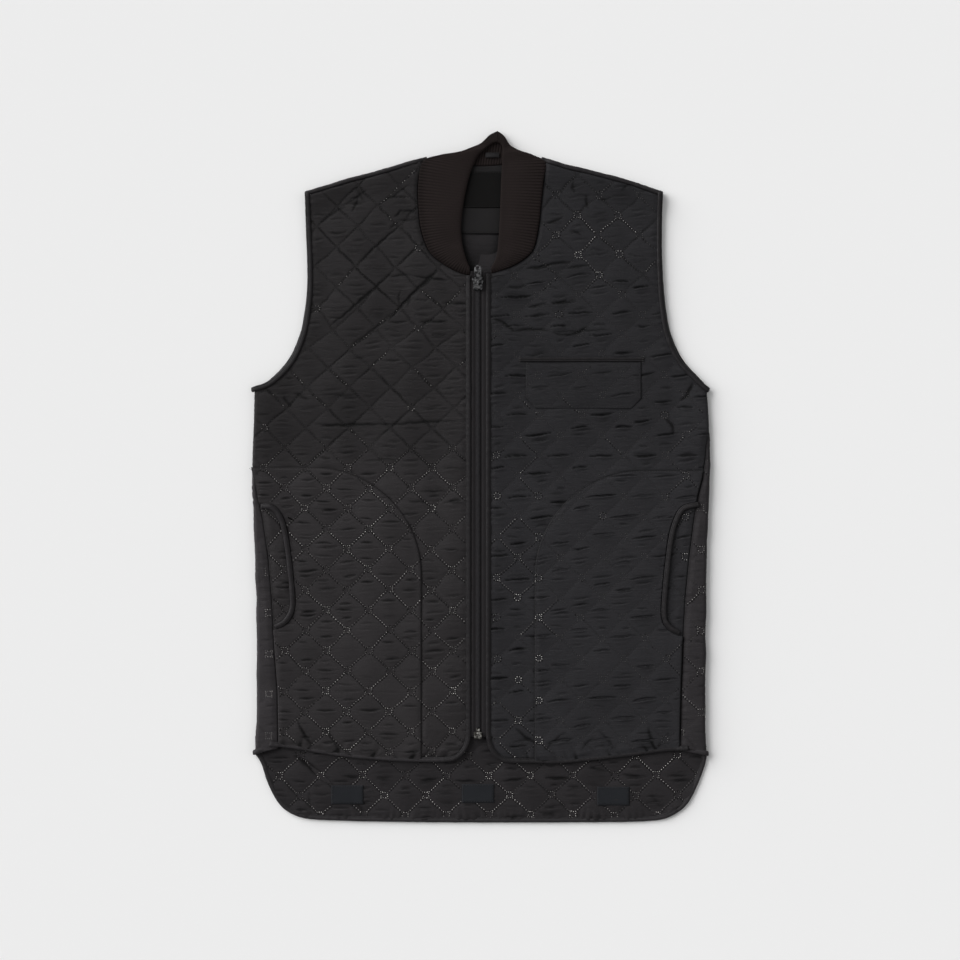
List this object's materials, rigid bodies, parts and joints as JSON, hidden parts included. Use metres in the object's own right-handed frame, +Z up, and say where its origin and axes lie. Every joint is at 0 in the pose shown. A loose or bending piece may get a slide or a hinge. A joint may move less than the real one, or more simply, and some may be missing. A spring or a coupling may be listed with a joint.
{
  "type": "thermal vest",
  "caption": "Sleeveless quilted thermal vest, zipped shut and laid flat, with a ribbed collar, bound armholes and hems, curved patch pockets, a chest pocket flap and a long tail.",
  "frame": {"origin": "on the surface the garment lies on, under the middle of its outline", "axes": "+Z up from the surface the garment lies on; +Y from the tail towards the collar; +X towards the wearer's left side"},
  "size_m": [0.5436, 0.82, 0.0144],
  "materials": {
    "shell_cloth": "satin woven synthetic, quilted in diamonds",
    "binding_cloth": "satin folded tape",
    "rib_knit": "matte rib knit",
    "lining_cloth": "plain satin lining",
    "label_cloth": "matte woven label, bare",
    "patch_cloth": "matte woven patch",
    "zip_tape": "matte woven tape",
    "zip_coil": "semi-gloss nylon coil",
    "zip_metal": "gunmetal"
  },
  "bodies": {
    "vest": {"back_neck_facing": "lining_cloth", "back_panel": "shell_cloth", "chest_flap": "shell_cloth", "chest_welt": "binding_cloth", "collar": "rib_knit", "hanger_loop": "binding_cloth", "hem_patch_left": "patch_cloth", "hem_patch_middle": "patch_cloth", "hem_patch_right": "patch_cloth", "left_armhole_binding": "binding_cloth", "left_front": "shell_cloth", "left_front_binding": "binding_cloth", "left_pocket": "shell_cloth", "left_pocket_piping": "binding_cloth", "left_top_stop": "zip_metal", "left_zip_coil": "zip_coil", "left_zip_tape": "zip_tape", "neck_label": "label_cloth", "right_armhole_binding": "binding_cloth", "right_front": "shell_cloth", "right_front_binding": "binding_cloth", "right_pocket": "shell_cloth", "right_pocket_piping": "binding_cloth", "right_top_stop": "zip_metal", "right_zip_coil": "zip_coil", "right_zip_tape": "zip_tape", "tail_binding": "binding_cloth", "zip_box": "zip_metal", "zip_pin": "zip_metal", "zip_slider": "zip_metal"},
    "pull_tab": {"zip_pull_tab": "zip_metal"}
  },
  "joints": [
    {"name": "pull_tab_hinge", "type": "hinge", "parent": "vest", "child": "pull_tab", "pos_m": [-0.0047, 0.23, 0.0121], "axis": [1, 0, 0], "range_deg": [0, 175]}
  ]
}
